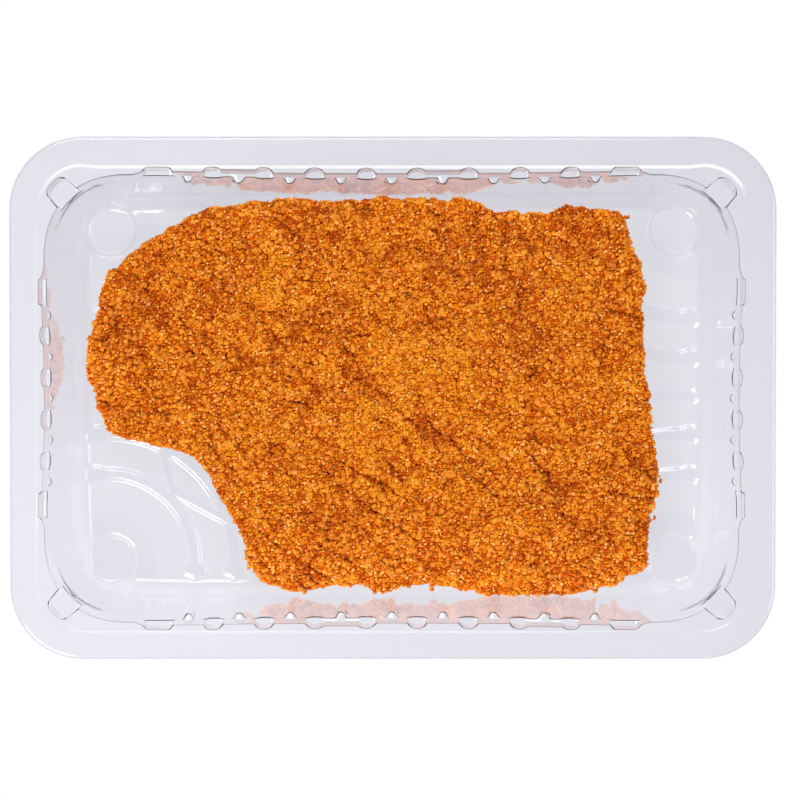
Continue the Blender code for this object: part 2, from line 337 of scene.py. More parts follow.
RIM_LEVELS = ((24.68, 39.5), (24.52, 39.2), (24.4, 38.6))
WALL_HEIGHTS = (
    *(37.2, 35.9, 35.4, 35.0, 34.6, 34.2, 33.2, 31.6, 30.0),
    *(27.0, 24.0, 21.0, 18.0, 14.5, 11.0),
)
FOOT_LEVELS = ((19.4, 9.0), (18.8, 7.0), (18.1, 5.3), (17.1, 3.8), (16.0, 2.8), (14.8, 2.4))

pan = rounded_plate(
    "pan", 2 * (CORE_X + RIM_START), 2 * (CORE_Y + RIM_START), RIM_START, LEDGE_Z
)
levels = [(reach * MM, z * MM) for reach, z in RIM_LEVELS]
levels += [(wall_reach(z * MM), z * MM) for z in WALL_HEIGHTS]
levels += [(reach * MM, z * MM) for reach, z in FOOT_LEVELS]
reach_now, z_now = RIM_START, LEDGE_Z
for reach, z in levels:
    step_in(reach_now - reach, z_now - z)
    reach_now, z_now = reach, z
    if abs(z - COARSER_BELOW) < 1e-6:
        drop_every_other_point(reach, z)
bpy.ops.mesh.delete(type="ONLY_FACE")

# The floor is filled with a grid that starts at the middle of one corner's arc.
pick("EDGE", open_edge_at(FLOOR_Z))
work = open_mesh()
work.select_history.clear()
work.select_history.add(edge_path(work, FLOOR_REACH, FLOOR_Z)[0])
bmesh.update_edit_mesh(pan.data)
bpy.ops.mesh.fill_grid(span=SIDE_STEPS + CORNER_STEPS // 2, use_interp_simple=True)
close_piece()
print("the pan's blank has", len(pan.data.polygons), "faces")

# %% The flange's blank, joined to the pan
LIP_AND_BREAK = ((0.0, -1.35), (0.16, -0.4), (0.4, -0.3), (0.5, -0.15))
FLANGE_BAND = ((1.6, 0.0), (4.9, 0.0))
BEAD = ((0.16, 0.04), (0.19, 0.16), (0.19, 0.16), (0.16, 0.04))

flange = rounded_plate(
    "flange", 2 * TRAY_HIGH.x, 2 * TRAY_HIGH.y, FLANGE_RADIUS, TRAY_HIGH.z - LIP_DROP
)
for reach_drop, z_drop in LIP_AND_BREAK + FLANGE_BAND + BEAD:
    step_in(reach_drop * MM, z_drop * MM)
bpy.ops.mesh.delete(type="ONLY_FACE")
close_piece()


# %% Line the bead's points up with the rim's
# The flange's corners turn about other points than the pan's, so a straight bridge would
# run askew, and pockets pressed into it would fold. The flat band can take up the skew:
# every point of the bead slides along its own loop until it faces its rim point.
TURN_X, TURN_Y = (TRAY_HIGH.x - FLANGE_RADIUS) / MM, (TRAY_HIGH.y - FLANGE_RADIUS) / MM
BEAD_STARTS = sum(drop for drop, _ in LIP_AND_BREAK + FLANGE_BAND)
BEAD_ENDS = BEAD_STARTS + sum(drop for drop, _ in BEAD)


def reach_of_loop(angle, radius):
    """How far a loop of the flange lies from the pan's corner point, in each direction."""
    away_x, away_y = np.cos(np.radians(angle)), np.sin(np.radians(angle))
    turn_x, turn_y = TURN_X - CORE_X / MM, TURN_Y - CORE_Y / MM
    along = away_x * turn_x + away_y * turn_y
    inside = along**2 - turn_x**2 - turn_y**2 + radius**2
    reach = along + np.sqrt(np.maximum(inside, 0))
    to_short = (turn_x + radius) / np.maximum(away_x, 1e-3)
    to_long = (turn_y + radius) / np.maximum(away_y, 1e-3)
    reach = np.where(to_short * away_y <= turn_y, to_short, reach)
    return np.where(to_long * away_x <= turn_x, to_long, reach)


def read_points(piece, what="co"):
    found = np.empty(len(piece.data.vertices) * 3)
    piece.data.vertices.foreach_get(what, found)
    return found.reshape(-1, 3)


def write_points(piece, points):
    piece.data.vertices.foreach_set("co", points.ravel())
    piece.data.update()


def reshape(piece, *changes, lowest=0.0):
    """Lets each change move the piece's points, but none below the lowest height."""
    points = read_points(piece)
    for change in changes:
        change(points)
    points[:, 2] = np.maximum(points[:, 2], lowest)
    write_points(piece, points)
    return points


def line_up_bead(points):
    x, y = np.abs(points[:, 0]) / MM, np.abs(points[:, 1]) / MM
    out_x, out_y = np.maximum(x - TURN_X, 0), np.maximum(y - TURN_Y, 0)
    radius = np.hypot(out_x, out_y)
    on_bead = FLANGE_RADIUS / MM - radius > BEAD_STARTS - 0.05
    angle = np.degrees(np.arctan2(out_y, out_x))
    reach = reach_of_loop(angle, radius)
    new_x = CORE_X / MM + reach * np.cos(np.radians(angle))
    new_y = CORE_Y / MM + reach * np.sin(np.radians(angle))
    new_x = np.where(x < TURN_X, x * CORE_X / MM / TURN_X, new_x)
    new_y = np.where(y < TURN_Y, y * CORE_Y / MM / TURN_Y, new_y)
    new_x, new_y = np.where(on_bead, new_x, x), np.where(on_bead, new_y, y)
    points[:, :2] = np.sign(points[:, :2]) * np.stack([new_x, new_y], axis=1) * MM


reshape(flange, line_up_bead)

# %% Bridge the ledge
select_only(pan, flange)
bpy.ops.object.join()
tray_sheet = pan
tray_sheet.name = "tray_sheet"
open_piece(tray_sheet)
pick("EDGE", open_edge_at(LEDGE_Z))
bpy.ops.mesh.bridge_edge_loops(number_cuts=LEDGE_STEPS, interpolation="LINEAR", smoothness=0)
close_piece()
print("the whole blank has", len(tray_sheet.data.polygons), "faces")

# %% [markdown]
# ### Pressing the blank onto the mould
#
# Each small form is a soft hump: 1 on its flat, 0 past its foot, smooth between. Wall
# ribs push the wall in, pockets push it out above a shelf, and the ledge gives way
# towards the bead, because a sheet can only be squeezed there and never folded over.


# %% Soft steps and humps
def soft_step(low, high, value):
    """0 below low and 1 above high, with a smooth rise between."""
    share = np.clip((value - low) / (high - low), 0.0, 1.0)
    return share * share * (3 - 2 * share)


def hump(distance, flat, foot):
    """1 within the flat, 0 past the foot, both in millimetres from the middle."""
    return 1 - soft_step(flat, foot, np.abs(distance))


def dome(distance, half_width, power=2):
    """1 in the middle, falling on a round curve to 0; a higher power is squarer."""
    share = np.clip(np.abs(distance) / half_width, 0, 1)
    return np.sqrt(1 - share**power)


# %% What stands on the walls
SHELF_Z = 35.0
SLOT_DEPTH, NOTCH_DEPTH, LUG_DEPTH = 0.8, 1.75, 5.6
SLOT_SQUARE, NOTCH_SQUARE, LUG_SQUARE = 12, 6, 4
OVAL_HALF, NOTCH_HALF, LUG_HALF = 2.6, 3.9, 3.9
# For each side: a rib's half width and depth, an oval's depth and lip, and the bow.
LONG_SIDE = {"ribs": 9, "pitch": 14.7, "notch": 67.2, "rib": (1.5, 1.65)}
LONG_SIDE |= {"oval": (1.6, 0.35), "bow": 0.7}
SHORT_SIDE = {"ribs": 5, "pitch": 12.0, "notch": 30.6, "rib": (1.1, 0.85)}
SHORT_SIDE |= {"oval": (0.95, 0.4), "bow": 0.9}
BACK_SLOTS = ((-51.45, -36.75), (7.35, 22.05))
FRONT_SLOTS = ((-22.05, -7.35), (36.75, 51.45))
CORNER_RIBS = (24.7, 45.0, 65.3)
CORNER_RIB_HALF, CORNER_RIB_DEPTH = 1.1, 0.4
RIB_PER_DEGREE, LUG_PER_DEGREE = 0.4, 0.46
RELIEF, RELIEF_FADE = 0.45, (3.6, 7.2)
# The straight walls bow in at the middle, and the corners bulge past a plain arc.
CORNER_BULGE = 1.1
# Heights over which a form comes in or dies out.
RIB_STARTS, RIB_ENDS = 9, (34.7, 35.3)
LIP_STARTS, LIP_ENDS = (32, 34.4), (34.9, 35.5)
CORNER_RIB_STARTS, CORNER_RIB_ENDS = (30.3, 33.2), (34.3, 34.9)
POCKET_STARTS = (35.02, 35.38)
RELIEF_STARTS, BOW_RISE = 8, (2, 34)


def up_the_wall(z):
    """0 at the wall's foot and 1 at the rim, in an even rise."""
    return np.clip((z - RELIEF_STARTS) / (LEDGE_Z / MM - RELIEF_STARTS), 0, 1)


def side_push(along, z, side, slots):
    """How far the wall moves out, in millimetres, at places along one straight side."""
    rib, pocket, lip = np.zeros((3, len(along)))
    count, pitch, notch = side["ribs"], side["pitch"], side["notch"]
    rib_half, rib_depth = side["rib"]
    oval_depth, oval_lip = side["oval"]
    for i in range(count):
        middle = (i - (count - 1) / 2) * pitch
        rib = np.maximum(rib, rib_depth * dome(along - middle, rib_half))
        if i:
            oval = dome(along - middle + pitch / 2, OVAL_HALF)
            pocket = np.maximum(pocket, oval_depth * oval)
            lip = np.maximum(lip, oval_lip * oval)
    for low, high in slots:
        slot = dome(along - (low + high) / 2, (high - low) / 2, SLOT_SQUARE)
        pocket = np.maximum(pocket, SLOT_DEPTH * slot)
    for middle in (-notch, notch):
        cut = dome(along - middle, NOTCH_HALF, NOTCH_SQUARE)
        pocket = np.maximum(pocket, NOTCH_DEPTH * cut)
    taper = np.clip((z - RIB_STARTS) / (SHELF_Z - RIB_STARTS), 0, 1)
    taper *= 1 - soft_step(*RIB_ENDS, z)
    under_shelf = soft_step(*LIP_STARTS, z) * (1 - soft_step(*LIP_ENDS, z))
    relief = RELIEF * (2 * hump(along, *(notch + fade for fade in RELIEF_FADE)) - 1)
    bow = side["bow"] * np.clip(1 - (along / notch) ** 2, 0, 1)
    push = pocket * soft_step(*POCKET_STARTS, z) - lip * under_shelf - rib * taper
    return push + relief * up_the_wall(z) - bow * soft_step(*BOW_RISE, z)


def corner_push(angle, z):
    """The same round a corner, at angles from the long axis."""
    rib = np.zeros_like(angle)
    for middle in CORNER_RIBS:
        rib = np.maximum(rib, dome((angle - middle) * RIB_PER_DEGREE, CORNER_RIB_HALF))
    rib *= soft_step(*CORNER_RIB_STARTS, z) * (1 - soft_step(*CORNER_RIB_ENDS, z))
    lug = LUG_DEPTH * dome((angle - 45) * LUG_PER_DEGREE, LUG_HALF, LUG_SQUARE)
    bulge = CORNER_BULGE * np.sin(np.radians(2 * angle)) ** 2 - RELIEF
    push = lug * soft_step(*POCKET_STARTS, z) - CORNER_RIB_DEPTH * rib
    return push + bulge * up_the_wall(z)


# %% Press the walls
LEAST_LEDGE = 0.15
# The mould did not meet the flange quite in the middle: how far its top is off.
MOULD_OFF = np.array((-0.35, -0.12))
MOULD_RISE, MOULD_FADE = (4, 34), (2.6, 6.0)


def press_walls(points):
    x, y, z = (points / MM).T
    core_x, core_y = CORE_X / MM, CORE_Y / MM
    out_x = x - np.clip(x, -core_x, core_x)
    out_y = y - np.clip(y, -core_y, core_y)
    reach = np.hypot(out_x, out_y)
    on_long = (np.abs(x) <= core_x) & (np.abs(y) > core_y)
    on_short = (np.abs(y) <= core_y) & (np.abs(x) > core_x)
    angle = np.degrees(np.arctan2(np.abs(out_y), np.abs(out_x)))
    push = np.zeros_like(x)
    for picked, along, side, slots in (
        (on_long & (y > 0), x, LONG_SIDE, BACK_SLOTS),
        (on_long & (y < 0), x, LONG_SIDE, FRONT_SLOTS),
        (on_short, y, SHORT_SIDE, ()),
    ):
        push[picked] = side_push(along[picked], z[picked], side, slots)
    corner = ~on_long & ~on_short & (reach > 0)
    push[corner] = corner_push(angle[corner], z[corner])
    rim = RIM_START / MM
    end = np.where(on_long, TRAY_HIGH.y / MM - core_y, TRAY_HIGH.x / MM - core_x) - BEAD_ENDS
    end[corner] = reach_of_loop(angle[corner], FLANGE_RADIUS / MM - BEAD_ENDS)
    push = np.minimum(push, end - rim - LEAST_LEDGE)
    past_rim = np.clip((reach - rim) / (end - rim), 0, 1)
    push *= (1 - past_rim) * (z > FLOOR_Z / MM)
    safe = np.maximum(reach, 1e-6)
    points[:, 0] += push * out_x / safe * MM
    points[:, 1] += push * out_y / safe * MM
    off = soft_step(*MOULD_RISE, z) * (1 - soft_step(*MOULD_FADE, reach - rim))
    points[:, :2] += off[:, None] * MOULD_OFF * MM


points = reshape(tray_sheet, press_walls)
print("walls pressed, up to y", round(float(points[:, 1].max()) / MM, 2), "mm")

# %% [markdown]
# ### The floor's ribs and the feet
#
# The floor carries raised ribs that keep the food out of its juice: two curved ribs
# round each foot, a zigzag between them and a straight one at each end. Measured from a
# foot towards the middle of the tray, all four corners are alike.
#
# A foot is a cup that runs down from the corner of the wall. Seen from a point inside
# the cup, each point of the sheet is moved straight away from it until it lies on the
# cup, unless it is already further out. That makes a clean union with the wall.

# %% Floor ribs and shoulders
FOOT_X, FOOT_Y = 86.0, 50.0
FLOOR_RIB_HEIGHT = 0.95
ARC_RADII = (26.5, 38.5)
ZIGZAG = ((16.6, 34.6), (20.2, 21.0), (38.6, 11.2))
# An arc rib ends in a tail with a knob at one end and a head that flares at the other.
ARC_HALF, ZIGZAG_HALF, KNOB_HALF, FLARE_HALF, RIB_EDGE = 1.1, 0.8, 1.2, 1.8, 1.0
TAIL, HEAD, KNOB, KNOB_AT, FLARE = -3.6, -5.0, 1.8, -2.6, -2.4
MIDDLE_RIB_END = 34.0
SHOULDER, SHOULDER_DIP = (12.6, 17.3), 0.8
RIBS_START, FLOOR_FADE = (16, 19), (2.4, 4.6)


def from_stroke(x, y, start, end):
    """How far places are from a straight stroke."""
    x, y = x - start[0], y - start[1]
    run_x, run_y = end[0] - start[0], end[1] - start[1]
    share = np.clip((x * run_x + y * run_y) / (run_x**2 + run_y**2), 0, 1)
    return np.hypot(x - share * run_x, y - share * run_y)


def floor_rib(x, y):
    """The height of the ribs, 0 to 1; x and y run from a foot towards the middle."""
    height = np.zeros_like(x)

    def raise_rib(distance, half):
        return np.maximum(height, hump(distance, half, half + RIB_EDGE))

    for radius in ARC_RADII:
        arc = np.where((x > 0) & (y > 0), np.abs(np.hypot(x, y) - radius), 99.0)
        tail = from_stroke(x, y, (radius, 0), (radius, TAIL))
        head = from_stroke(x, y, (0, radius), (HEAD, radius))
        height = raise_rib(np.minimum(arc, np.minimum(tail, head)), ARC_HALF)
        knob = from_stroke(x, y, (radius - KNOB, KNOB_AT), (radius + KNOB, KNOB_AT))
        height = raise_rib(knob, KNOB_HALF)
        flare = from_stroke(x, y, (FLARE, radius), (HEAD, radius))
        height = raise_rib(flare, FLARE_HALF)
    for start, end in zip(ZIGZAG, ZIGZAG[1:]):
        height = raise_rib(from_stroke(x, y, start, end), ZIGZAG_HALF)
    middle = from_stroke(x, y, (HEAD, FOOT_Y), (MIDDLE_RIB_END, FOOT_Y))
    return raise_rib(middle, ARC_HALF)


def from_foot(points):
    """Places seen from the nearest foot, towards the middle, and the distance to it."""
    x, y = FOOT_X - np.abs(points[:, 0]) / MM, FOOT_Y - np.abs(points[:, 1]) / MM
    return x, y, np.hypot(x, y)


def press_floor(points):
    x, y, away = from_foot(points)
    shoulder = np.clip((away - SHOULDER[0]) / (SHOULDER[1] - SHOULDER[0]), 0, 1)
    low = 1 - soft_step(*FLOOR_FADE, points[:, 2] / MM)
    rise = FLOOR_RIB_HEIGHT * floor_rib(x, y) * soft_step(*RIBS_START, away)
    points[:, 2] += (rise - SHOULDER_DIP * (1 - shoulder)) * low * MM


# %% Feet
CUP_X, CUP_EYE_Z = 85.2, 22.0
CUP_RADIUS, CUP_FLARE, CUP_ROUNDING = 7.0, 1 / 11, 1.7
CUP_REACH, CUP_TOP = 34, 31
BOTTOM_ROUNDING, BOTTOM_SOFTNESS = 0.3, 0.6
LEAST_SLANT = 0.05


def press_feet(points):
    x, y, z = (points / MM).T
    side_x, side_y = np.where(x < 0, -1, 1), np.where(y < 0, -1, 1)
    away = np.stack([x - side_x * CUP_X, y - side_y * FOOT_Y, z - CUP_EYE_Z], axis=1)
    distance = np.linalg.norm(away, axis=1)
    near = (distance < CUP_REACH) & (z < CUP_TOP)
    away, distance = away[near], distance[near]
    heading = away / distance[:, None]
    across = np.hypot(heading[:, 0], heading[:, 1])
    slant = np.maximum(across - CUP_FLARE * heading[:, 2], LEAST_SLANT)
    to_wall = (CUP_RADIUS + CUP_FLARE * CUP_EYE_Z) / slant
    to_bottom = (CUP_EYE_Z - SHEET / MM) / np.maximum(-heading[:, 2], LEAST_SLANT)
    gap = np.abs(to_wall - to_bottom)
    to_cup = np.minimum(to_wall, to_bottom)
    to_cup -= BOTTOM_ROUNDING * np.exp(-gap / BOTTOM_SOFTNESS)
    both = np.maximum(distance, to_cup)
    both += CUP_ROUNDING * np.log1p(np.exp(-np.abs(distance - to_cup) / CUP_ROUNDING))
    moved = np.where(to_cup > distance - 3 * CUP_ROUNDING, both, distance)
    points[near] += heading * (moved - distance)[:, None] * MM


# %% Press the floor and the feet
# The floor's faces are split once more where a form has to be drawn: at the ribs, in the
# feet, and on the ring of the shoulder.
FINE_FOOT = 10.4
FINE_RING, FINE_RING_HALF = 15.1, 1.9

points = read_points(tray_sheet)
x, y, away = from_foot(points)
fine = (floor_rib(x, y) > 0) | (away < FINE_FOOT) | (np.abs(away - FINE_RING) < FINE_RING_HALF)
fine &= points[:, 2] < FLOOR_Z + 0.01 * MM
open_piece(tray_sheet)
pick("FACE", lambda face: any(fine[v.index] for v in face.verts))
bpy.ops.mesh.subdivide(number_cuts=1)
close_piece()

points = reshape(tray_sheet, press_floor, press_feet, lowest=SHEET)
print("the sheet's lowest point is at", round(float(points[:, 2].min()) / MM, 2), "mm")

# %% Give the sheet its thickness
CRISP_BEND = math.radians(30)
CRISP_ABOVE = 33 * MM
LEVEL_SLOPE = 0.25
wall = tray_sheet.modifiers.new("sheet", "SOLIDIFY")
wall.thickness = SHEET
wall.offset = -1
apply_all(tray_sheet)
tray_sheet.data.shade_smooth()
# Shelves bend sharply where they meet the wall, so the shading breaks there.
open_piece(tray_sheet)
pick(
    "EDGE",
    lambda edge: edge.calc_face_angle(0) > CRISP_BEND
    and abs(edge.verts[0].co.z - edge.verts[1].co.z) < LEVEL_SLOPE * edge.calc_length()
    and edge.verts[0].co.z > CRISP_ABOVE,
)
bpy.ops.mesh.mark_sharp()
close_piece()
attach(tray_sheet, "root")
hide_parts("tray")
print("the tray has", triangles(tray_sheet), "triangles")

# %% [markdown]
# ## The crust's base
#
# Between the crumbs one sees the fried batter under them, which is darker and redder; its
# colour is also painted darker as shade in the gaps. It could be a flat colour on the
# imported solid, but then every gap would have the same depth. So a copy of the solid is
# drawn in by the thickness of the crumbs and remeshed finely, and soft noise swells and
# dents it.
#
# The real slab also has a few splits, where the crust tore as the meat shrank, and
# shallow dents. They are listed by place, because chance would never put them there.

# %% Sizes of the crust
CRUMB_LAYER = 0.75 * MM
BASE_GRID = 0.8 * MM
REST_HEIGHT = MEAT_LOW.z + 0.45 * MM
# The crust stays clear of the long walls, so that its crumbs have room there.
WALL_GAP = 0.9 * MM
TOP_STARTS = (8, 13)
# Places in millimetres. A dent is x, y, radius and depth.
DENTS = (
    *((36.2, 26.6, 4.0, 0.9), (-29.3, 35.9, 3.4, 0.8), (-47.5, 35.5, 4.5, 0.8)),
    *((-53.5, 22.7, 3.0, 0.6), (-67.5, 23.6, 5.5, 0.7), (-13.5, 12.5, 2.6, 0.6)),
    *((-8.3, 1.1, 3.0, 0.7), (14.0, 22.7, 4.0, 0.8), (-27.0, -53.0, 3.5, 0.9)),
    (9.0, -48.5, 4.5, 0.9),
)
SPLITS = (
    ((24.5, 54.0), (25.3, 48.6), (26.1, 45.9), (26.9, 40.6)),
    ((27.6, 27.2), (28.7, 23.6), (29.6, 21.0)),
    ((37.1, 16.3), (38.6, 13.8), (40.3, 11.7)),
    ((-46.6, 7.7), (-44.5, 8.6), (-42.0, 10.9)),
    ((-33.9, 23.6), (-28.0, 24.6), (-22.0, 26.9)),
)
SPLIT_WIDTH, SPLIT_DEPTH, SPLIT_WANDER = 0.9, 1.6, 0.6
# The meat's folds run aslant. Sizes are across and along them.
FOLD_TURN = math.radians(57)
FOLD_SIZE, FOLD_HEIGHT = (5.5, 14.0), 0.9
CREASE_SIZE, CREASE_DEPTH, CREASE_WIDTH = (8.0, 20.0), 1.6, 0.08
CLUMP_SIZE, GAP_DEPTH, GAP_WIDTH = (2.6, 4.2), 1.25, 0.13
# Where creases and gaps are found: the size of a patch, its contrast and its share.
CREASED, GAPPED = (15, 4, 0.4), (8, 2, 0.7)
# Where the pan browned the crust more, and where less: x, y and radius.
BROWNER = (
    *((-75, 27, 13), (-22, 54, 10), (26, 41, 10), (41, 17, 10), (58, 50, 10), (-17, -40, 13)),
    *((-29, -53, 7), (14, -46, 12), (60, -46, 20), (-19, 23, 8), (-54, 5, 8)),
)
GOLDEN = ((-34, 29, 12), (11, 14, 18), (2, -13, 25), (-48, -10, 12))
# Where the edge bulges out or draws in: x, y, radius and how far.
EDGE_SWELLS = (
    *((-85, 34, 5, 1.7), (-90.5, 10, 5, 1.1), (-82.5, -10, 6, 2.0), (-59, -18, 5, -0.8)),
    *((-50, -32.5, 7, 1.4), (-40.5, -52, 7, 2.4), (-29, -57, 6, 1.8), (-3, -57, 4, 1.8)),
    *((32, -58.5, 9, 1.4), (50, -58.5, 8, 1.4), (66, -55.5, 3.5, 1.6), (73, -50.5, 3.5, 2.0)),
    *((68, 53, 5, 2.0), (-2, 59, 8, 0.6), (21.5, 57.5, 6, 1.3), (-32, 59, 6, 0.5)),
    *((-55.5, 55.5, 8, 1.3), (74, 31, 8, 0.8), (75, 7, 5, -0.9), (78, -28.5, 5, 1.0)),
)
# Name, size and strength in millimetres, and levels of detail.
NOISES = (("swells", 12, 1.0, 1), ("lumps", 4.2, 1.9, 1), ("clusters", 1.9, 1.2, 0))

# %% Copy, merge and remesh
crust_base = new_object("crust_base", frame["nodes"]["schnitzel"].data.copy())
open_piece(crust_base)
bpy.ops.mesh.select_all(action="SELECT")
bpy.ops.mesh.remove_doubles(threshold=0.01 * MM)
bpy.ops.mesh.customdata_custom_splitnormals_clear()
close_piece()
remesh = crust_base.modifiers.new("even grid", "REMESH")
remesh.voxel_size = BASE_GRID
draw_in = crust_base.modifiers.new("draw in", "DISPLACE")
draw_in.mid_level = 0
draw_in.strength = -CRUMB_LAYER
for name, size, strength, depth in NOISES:
    clouds = bpy.data.textures.new(name, "CLOUDS")
    clouds.noise_scale = size * MM
    clouds.noise_depth = depth
    swell = crust_base.modifiers.new(name, "DISPLACE")
    swell.texture = clouds
    swell.texture_coords = "LOCAL"
    swell.strength = strength * MM
apply_all(crust_base)
print("the crust's base has", triangles(crust_base), "triangles")


# %% Folds, dents and splits
def folds(x, y):
    """The depth of folds, creases and the gaps between clumps at one place."""
    across = x * math.cos(FOLD_TURN) + y * math.sin(FOLD_TURN)
    along = y * math.cos(FOLD_TURN) - x * math.sin(FOLD_TURN)

    def wave(size, layer):
        return noise.noise(Vector((across / size[0], along / size[1], layer)))

    def patch(size, contrast, share, layer):
        found = noise.noise(Vector((x / size, y / size, layer)))
        return min(max(found * contrast + share, 0), 1)

    crease = math.exp(-((wave(CREASE_SIZE, 5.1) / CREASE_WIDTH) ** 2)) * patch(*CREASED, 9.7)
    gap = math.exp(-((wave(CLUMP_SIZE, 2.2) / GAP_WIDTH) ** 2)) * patch(*GAPPED, 7.3)
    return CREASE_DEPTH * crease + GAP_DEPTH * gap - FOLD_HEIGHT * wave(FOLD_SIZE, 0.3)


def bell(x, y, middle_x, middle_y, radius):
    """1 at the middle, fading out on all sides."""
    return np.exp(-((np.hypot(x - middle_x, y - middle_y) / radius) ** 2))


def hollows(x, y):
    """How deep the crust lies at each place, in millimetres."""
    depth = np.array([folds(*place) for place in zip(x, y)])
    for *place, dip in DENTS:
        depth += dip * bell(x, y, *place)
    wander = 0.5 * np.sin(x * 1.9 + y * 0.7) + 0.4 * np.sin(y * 2.3 - x)
    for path in SPLITS:
        for start, end in zip(path, path[1:]):
            away = from_stroke(x + wander * SPLIT_WANDER, y, start, end)
            depth = np.maximum(depth, SPLIT_DEPTH * np.exp(-((away / SPLIT_WIDTH) ** 2)))
    return depth


def zones(x, y, places):
    return np.minimum(sum(bell(x, y, *place) for place in places), 1)


points = read_points(crust_base)
x, y, z = (points / MM).T
outwards = read_points(crust_base, "normal")
for *place, far in EDGE_SWELLS:
    points[:, :2] += (far * bell(x, y, *place) * MM)[:, None] * outwards[:, :2]
room = CORE_Y + wall_reach(points[:, 2]) - WALL_GAP
points[:, 1] = np.clip(points[:, 1], -room, room)
depth = hollows(x, y) * soft_step(*TOP_STARTS, z)
points[:, 2] = np.maximum(points[:, 2] - depth * MM, REST_HEIGHT)
write_points(crust_base, points)
crust_base.data.shade_smooth()

# %% How browned and shaded each place is
# 0.5 is the middle. The part by depth is painted shade in the hollows and painted light on
# the crests, over the browning. The value stays on the base's points, and crumbs will take it
# over.
EVENLY_BROWNED, BROWNED_AND_SHADED_BY_DEPTH, BROWNED_BY_PLACE = 0.47, 0.28, 0.16

by_place = BROWNED_BY_PLACE * (zones(x, y, BROWNER) - zones(x, y, GOLDEN))
browned_and_shaded = EVENLY_BROWNED + BROWNED_AND_SHADED_BY_DEPTH * depth + by_place


def mark_browned_and_shaded(mesh, values):
    mark = mesh.attributes.new("browned_and_shaded", "FLOAT", "POINT")
    mark.data.foreach_set("value", values)


mark_browned_and_shaded(crust_base.data, np.clip(browned_and_shaded, 0, 1))
print("the crust is browned by", round(float(browned_and_shaded.mean()), 2), "on average")

# %% [markdown]
# ## The crumbs
#
# Breadcrumbs for schnitzels are ground from dry bread, so they are small angular
# grains, about a millimetre across, from rust brown to pale gold. Painting them on as a
# bump would look flat at the edge, where the real ones stick out. So they are real
# meshes: a few grains are made one by one, and Geometry Nodes scatters them over the base.
#
# Each kind of crumb is a piece of its own. All kinds scatter the same points, and each
# keeps its share of them, so no two crumbs sit in one place.

# %% A handful of grains
# Roughness and height of each grain.
GRAINS = ((0.1, 0.85), (0.14, 0.7), (0.12, 0.95), (0.17, 0.6), (0.11, 1.0), (0.2, 0.75))
GRAIN_RADIUS, GRAIN_WIDTH = 0.5 * MM, 0.9

grains = bpy.data.collections.new("grains")
scene.collection.children.link(grains)
for seed, (roughness, height) in enumerate(GRAINS, 1):
    bpy.ops.mesh.primitive_ico_sphere_add(subdivisions=1, radius=GRAIN_RADIUS)
    grain = bpy.context.object
    grain.name = f"grain_{seed}"
    open_piece(grain)
    bpy.ops.transform.vertex_random(
        offset=roughness * MM, uniform=1.0, seed=seed, wait_for_input=False
    )
    bpy.ops.transform.resize(value=(1, GRAIN_WIDTH, height), center_override=(0, 0, 0))
    close_piece()
    grain.data.shade_smooth()
    bpy.context.collection.objects.unlink(grain)
    grains.objects.link(grain)


# %% Helpers for node trees
# With these, an effect reads as one line.


def fill(tree, socket, value):
    """Links the value to the socket, or stores it there when it is plain."""
    if isinstance(value, bpy.types.NodeSocket):
        tree.links.new(value, socket)
    else:
        socket.default_value = value


def new_node(tree, kind, settings=(), **inputs):
    """Adds a node, sets its settings, and fills inputs with values or with links."""
    node = tree.nodes.new(kind)
    for name, value in dict(settings).items():
        setattr(node, name, value)
    for name, value in inputs.items():
        fill(tree, node.inputs[name.replace("_", " ")], value)
    return node


def calculate(tree, operation, *values):
    """The result of a maths node, whose values are plain or links."""
    node = new_node(tree, "ShaderNodeMath", {"operation": operation})
    for socket, value in zip(node.inputs, values):
        fill(tree, socket, value)
    return node.outputs[0]


def share_between(tree, value, low, high, least=0.0, most=1.0):
    """The least where the value is low and the most where it is high, even between."""
    window = {"From_Min": low, "From_Max": high, "To_Min": least, "To_Max": most}
    return new_node(tree, "ShaderNodeMapRange", Value=value, **window).outputs[0]


def random_number(tree, low, high, seed):
    node = new_node(tree, "FunctionNodeRandomValue", Seed=seed)
    node.inputs[2].default_value = low
    node.inputs[3].default_value = high
    return node.outputs[1]


# %% The scattering
# Crumbs stand thinner and lower where the surface faces down.
CRUMB_SPACING, MOST_CRUMBS = 0.6 * MM, 5e6
CRUMB_SEED = 7
THIN_BELOW, THINNEST = (-0.8, -0.4), 0.45
LIFTED_ABOVE = (-0.5, 0.1)


def spread_points(tree, surface, lift):
    """Points all over a surface, each lifted off it by a random height."""
    normal = tree.nodes.new("GeometryNodeInputNormal").outputs[0]
    upwards = new_node(tree, "ShaderNodeSeparateXYZ", Vector=normal).outputs["Z"]
    spread = new_node(
        tree,
        "GeometryNodeDistributePointsOnFaces",
        {"distribute_method": "POISSON"},
        Mesh=surface,
        Distance_Min=CRUMB_SPACING,
        Density_Max=MOST_CRUMBS,
        Density_Factor=share_between(tree, upwards, *THIN_BELOW, least=THINNEST),
        Seed=CRUMB_SEED,
    )
    height = random_number(tree, lift[0] * MM, lift[1] * MM, 11)
    height = calculate(tree, "MULTIPLY", share_between(tree, upwards, *LIFTED_ABOVE), height)
    off = new_node(tree, "ShaderNodeVectorMath", {"operation": "SCALE"}, Scale=height)
    tree.links.new(spread.outputs["Normal"], off.inputs[0])
    place = new_node(tree, "GeometryNodeSetPosition", Geometry=spread.outputs["Points"])
    tree.links.new(off.outputs[0], place.inputs["Offset"])
    return place.outputs[0]


